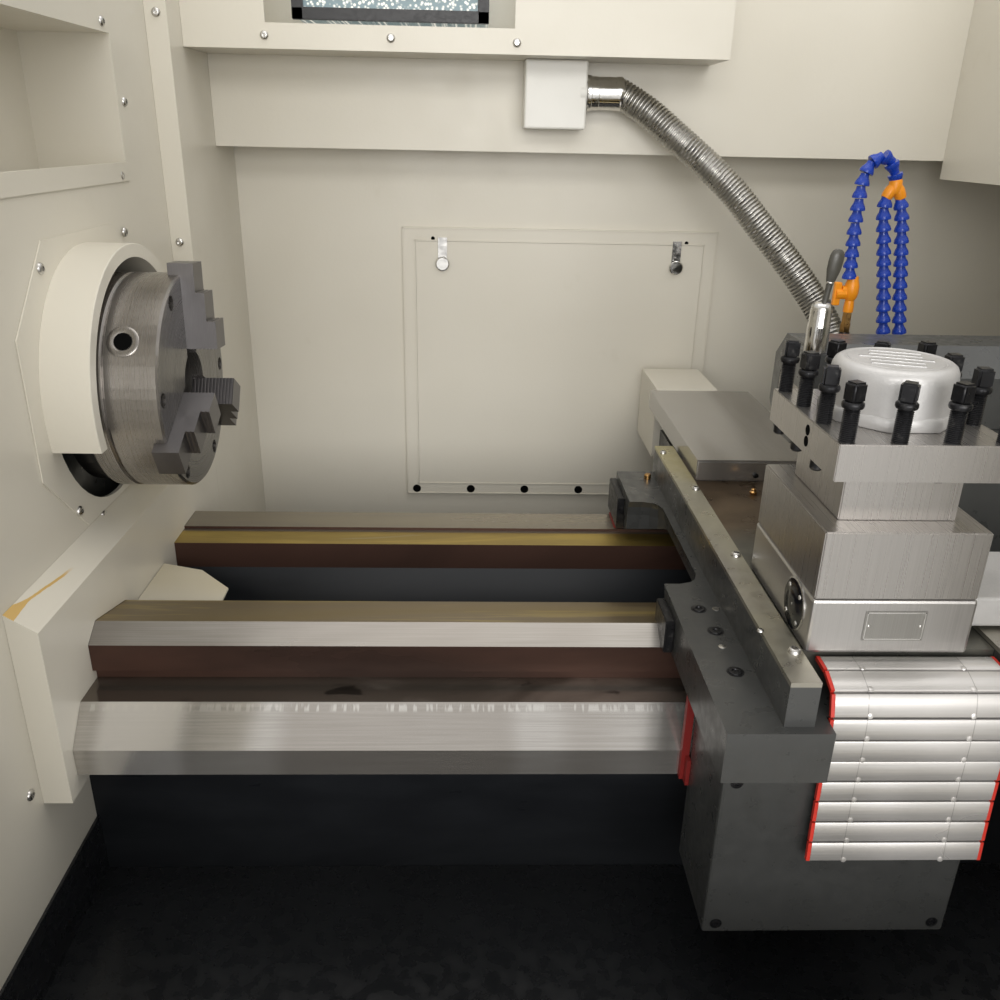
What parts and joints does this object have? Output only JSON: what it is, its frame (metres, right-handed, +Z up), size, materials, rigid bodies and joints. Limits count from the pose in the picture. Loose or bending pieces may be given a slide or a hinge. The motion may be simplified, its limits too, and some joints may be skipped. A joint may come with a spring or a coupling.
{
  "type": "cnc turning lathe",
  "caption": "Flat-bed CNC turning lathe in a sheet-metal enclosure with sliding doors, a three-jaw chuck, a square tool turret and a tailstock.",
  "frame": {"origin": "centre of the machine's footprint, on the floor", "axes": "+X along the spindle from the chuck to the tailstock, +Y to the rear wall, +Z up"},
  "size_m": [2.26, 1.3706, 1.75],
  "materials": {
    "bed": "dark glossy painted casting with ground ways",
    "pedestal_left": "dark glossy painted casting with ground ways",
    "pedestal_right": "dark glossy painted casting with ground ways",
    "chip_tray": "dark glossy painted casting with ground ways",
    "headstock": "dark glossy painted casting with ground ways",
    "headstock_cover": "semi-gloss cream paint",
    "flange_plate": "semi-gloss cream paint",
    "chuck_guard": "semi-gloss cream paint",
    "bed_end_cover": "semi-gloss cream paint",
    "corner_panel": "semi-gloss cream paint",
    "back_wall": "semi-gloss cream paint",
    "hatch_panel": "semi-gloss cream paint",
    "back_beam": "semi-gloss cream paint",
    "lamp_panel": "semi-gloss cream paint",
    "lamp": "white diffuser",
    "cable_box": "semi-gloss cream paint",
    "right_cover": "semi-gloss cream paint",
    "front_frame": "semi-gloss cream paint",
    "z_screw_cover": "bright stainless sheet",
    "z_motor": "black",
    "spindle_motor": "black",
    "junction_box": "semi-gloss cream paint",
    "conduit": "satin aluminium",
    "control_box": "semi-gloss cream paint",
    "hatch_latch_1": "ground steel",
    "hatch_latch_2": "ground steel",
    "door_left": "semi-gloss cream paint",
    "door_pane_left": "clear pane",
    "door_right": "semi-gloss cream paint",
    "door_pane_right": "clear pane",
    "spindle": "dark turned steel",
    "chuck_back_plate": "dark turned steel",
    "chuck_body": "dark turned steel",
    "chuck_scroll": "ground steel",
    "chuck_pinion_1": "ground steel",
    "chuck_pinion_2": "ground steel",
    "chuck_pinion_3": "ground steel",
    "chuck_jaw_1": "dark turned steel",
    "chuck_jaw_2": "dark turned steel",
    "chuck_jaw_3": "dark turned steel",
    "z_screw": "ground steel",
    "saddle": "dark glossy painted casting with ground ways",
    "apron": "dark glossy painted casting with ground ways",
    "z_wiper": "red",
    "roll_cover": "satin aluminium",
    "x_cover": "bright stainless sheet",
    "x_motor_cover": "semi-gloss cream paint",
    "coolant_line": "blue segmented hose",
    "coolant_valve_knob": "orange",
    "cross_slide": "dark glossy painted casting with ground ways",
    "turret_base": "ground steel",
    "turret_motor": "satin aluminium",
    "turret": "ground steel",
    "turret_cap": "satin aluminium",
    "tailstock": "dark glossy painted casting with ground ways",
    "quill": "ground steel",
    "tailstock_handwheel": "ground steel",
    "quill_lock": "black",
    "stop_button": "red",
    "pulse_wheel": "black"
  },
  "bodies": {
    "frame": {"bed": "bed", "pedestal_left": "pedestal_left", "pedestal_right": "pedestal_right", "chip_tray": "chip_tray", "headstock": "headstock", "headstock_cover": "headstock_cover", "flange_plate": "flange_plate", "chuck_guard": "chuck_guard", "bed_end_cover": "bed_end_cover", "corner_panel": "corner_panel", "back_wall": "back_wall", "hatch_panel": "hatch_panel", "back_beam": "back_beam", "lamp_panel": "lamp_panel", "lamp": "lamp", "cable_box": "cable_box", "right_cover": "right_cover", "front_frame": "front_frame", "z_screw_cover": "z_screw_cover", "z_motor": "z_motor", "spindle_motor": "spindle_motor", "junction_box": "junction_box", "conduit": "conduit", "control_box": "control_box"},
    "latch_1": {"hatch_latch_1": "hatch_latch_1"},
    "latch_2": {"hatch_latch_2": "hatch_latch_2"},
    "left_door": {"door_left": "door_left", "door_pane_left": "door_pane_left"},
    "right_door": {"door_right": "door_right", "door_pane_right": "door_pane_right"},
    "spindle": {"spindle": "spindle", "chuck_back_plate": "chuck_back_plate", "chuck_body": "chuck_body"},
    "scroll": {"chuck_scroll": "chuck_scroll"},
    "pinion_1": {"chuck_pinion_1": "chuck_pinion_1"},
    "pinion_2": {"chuck_pinion_2": "chuck_pinion_2"},
    "pinion_3": {"chuck_pinion_3": "chuck_pinion_3"},
    "jaw_1": {"chuck_jaw_1": "chuck_jaw_1"},
    "jaw_2": {"chuck_jaw_2": "chuck_jaw_2"},
    "jaw_3": {"chuck_jaw_3": "chuck_jaw_3"},
    "z_screw": {"z_screw": "z_screw"},
    "carriage": {"saddle": "saddle", "apron": "apron", "z_wiper": "z_wiper", "roll_cover": "roll_cover", "x_cover": "x_cover", "x_motor_cover": "x_motor_cover", "coolant_line": "coolant_line"},
    "valve_knob": {"coolant_valve_knob": "coolant_valve_knob"},
    "cross_slide": {"cross_slide": "cross_slide", "turret_base": "turret_base", "turret_motor": "turret_motor"},
    "turret": {"turret": "turret", "turret_cap": "turret_cap"},
    "tailstock": {"tailstock": "tailstock"},
    "quill": {"quill": "quill"},
    "handwheel": {"tailstock_handwheel": "tailstock_handwheel"},
    "quill_lock": {"quill_lock": "quill_lock"},
    "stop_button": {"stop_button": "stop_button"},
    "pulse_wheel": {"pulse_wheel": "pulse_wheel"}
  },
  "joints": [
    {"name": "spindle_turn", "type": "hinge", "parent": "frame", "child": "spindle", "pos_m": [-0.365, 0.0773, 1.13], "axis": [1, 0, 0], "continuous": true},
    {"name": "scroll_turn", "type": "hinge", "parent": "spindle", "child": "scroll", "pos_m": [-0.415, 0.0773, 1.13], "axis": [1, 0, 0], "range_deg": [-410, 410]},
    {"name": "pinion_1_turn", "type": "hinge", "parent": "spindle", "child": "pinion_1", "pos_m": [-0.3985, -0.02527, 1.19789], "axis": [0, -0.8339, 0.5519], "range_deg": [-1436, 1436]},
    {"name": "pinion_2_turn", "type": "hinge", "parent": "spindle", "child": "pinion_2", "pos_m": [-0.3985, 0.06979, 1.00723], "axis": [0, -0.061, -0.9981], "range_deg": [-1436, 1436]},
    {"name": "pinion_3_turn", "type": "hinge", "parent": "spindle", "child": "pinion_3", "pos_m": [-0.3985, 0.18738, 1.18488], "axis": [0, 0.8949, 0.4462], "range_deg": [-1436, 1436]},
    {"name": "jaw_1_slide", "type": "slide", "parent": "spindle", "child": "jaw_1", "axis": [0, 0.061, 0.9981], "range_m": [-0.0095, 0.0095]},
    {"name": "jaw_2_slide", "type": "slide", "parent": "spindle", "child": "jaw_2", "axis": [0, -0.8949, -0.4462], "range_m": [-0.0095, 0.0095]},
    {"name": "jaw_3_slide", "type": "slide", "parent": "spindle", "child": "jaw_3", "axis": [0, 0.8339, -0.5519], "range_m": [-0.0095, 0.0095]},
    {"name": "z_screw_turn", "type": "hinge", "parent": "frame", "child": "z_screw", "pos_m": [-0.365, -0.1627, 0.795], "axis": [1, 0, 0], "range_deg": [-19830, 1100]},
    {"name": "carriage_slide", "type": "slide", "parent": "frame", "child": "carriage", "axis": [1, 0, 0], "range_m": [-0.5501, 0.0301]},
    {"name": "cross_slide_travel", "type": "slide", "parent": "carriage", "child": "cross_slide", "axis": [0, 1, 0], "range_m": [0, 0.06]},
    {"name": "turret_turn", "type": "hinge", "parent": "cross_slide", "child": "turret", "pos_m": [0.3455, -0.1987, 1.13], "axis": [0, 0, 1], "continuous": true},
    {"name": "tailstock_slide", "type": "slide", "parent": "frame", "child": "tailstock", "axis": [1, 0, 0], "range_m": [0, 0.15]},
    {"name": "handwheel_turn", "type": "hinge", "parent": "tailstock", "child": "handwheel", "pos_m": [0.71, 0.0773, 1.13], "axis": [-1, 0, 0], "range_deg": [0, 8600]},
    {"name": "quill_slide", "type": "slide", "parent": "tailstock", "child": "quill", "axis": [-1, 0, 0], "range_m": [0, 0.12]},
    {"name": "quill_lock_turn", "type": "hinge", "parent": "tailstock", "child": "quill_lock", "pos_m": [0.351, -0.0007, 1.1923], "axis": [0, 0, 1], "range_deg": [0, 90]},
    {"name": "latch_1_turn", "type": "hinge", "parent": "frame", "child": "latch_1", "pos_m": [-0.088, 0.6763, 1.192], "axis": [0, 1, 0], "range_deg": [0, 90]},
    {"name": "latch_2_turn", "type": "hinge", "parent": "frame", "child": "latch_2", "pos_m": [0.334, 0.6763, 1.192], "axis": [0, 1, 0], "range_deg": [-90, 0]},
    {"name": "left_door_slide", "type": "slide", "parent": "frame", "child": "left_door", "axis": [1, 0, 0], "range_m": [0, 0.4598]},
    {"name": "right_door_slide", "type": "slide", "parent": "frame", "child": "right_door", "axis": [-1, 0, 0], "range_m": [0, 0.4598]},
    {"name": "valve_knob_turn", "type": "hinge", "parent": "carriage", "child": "valve_knob", "pos_m": [0.4872, 0.2743, 1.213], "axis": [1, 0, 0], "range_deg": [0, 90]},
    {"name": "stop_button_press", "type": "slide", "parent": "frame", "child": "stop_button", "axis": [0, 1, 0], "range_m": [0, 0.005], "stiffness_N_per_m": 1000},
    {"name": "pulse_wheel_turn", "type": "hinge", "parent": "frame", "child": "pulse_wheel", "pos_m": [0.9825, -0.658, 1.1475], "axis": [0, 1, 0], "continuous": true}
  ],
  "couplings": [
    {"joint": "pinion_1_turn", "follows": "scroll_turn", "ratio": 3.5},
    {"joint": "pinion_2_turn", "follows": "scroll_turn", "ratio": 3.5},
    {"joint": "pinion_3_turn", "follows": "scroll_turn", "ratio": 3.5},
    {"joint": "jaw_1_slide", "follows": "scroll_turn", "m_per_rad": 0.00127},
    {"joint": "jaw_2_slide", "follows": "scroll_turn", "m_per_rad": 0.00127},
    {"joint": "jaw_3_slide", "follows": "scroll_turn", "m_per_rad": 0.00127},
    {"joint": "z_screw_turn", "follows": "carriage_slide", "rad_per_m": 628.32},
    {"joint": "quill_slide", "follows": "handwheel_turn", "m_per_rad": 0.00079577}
  ]
}
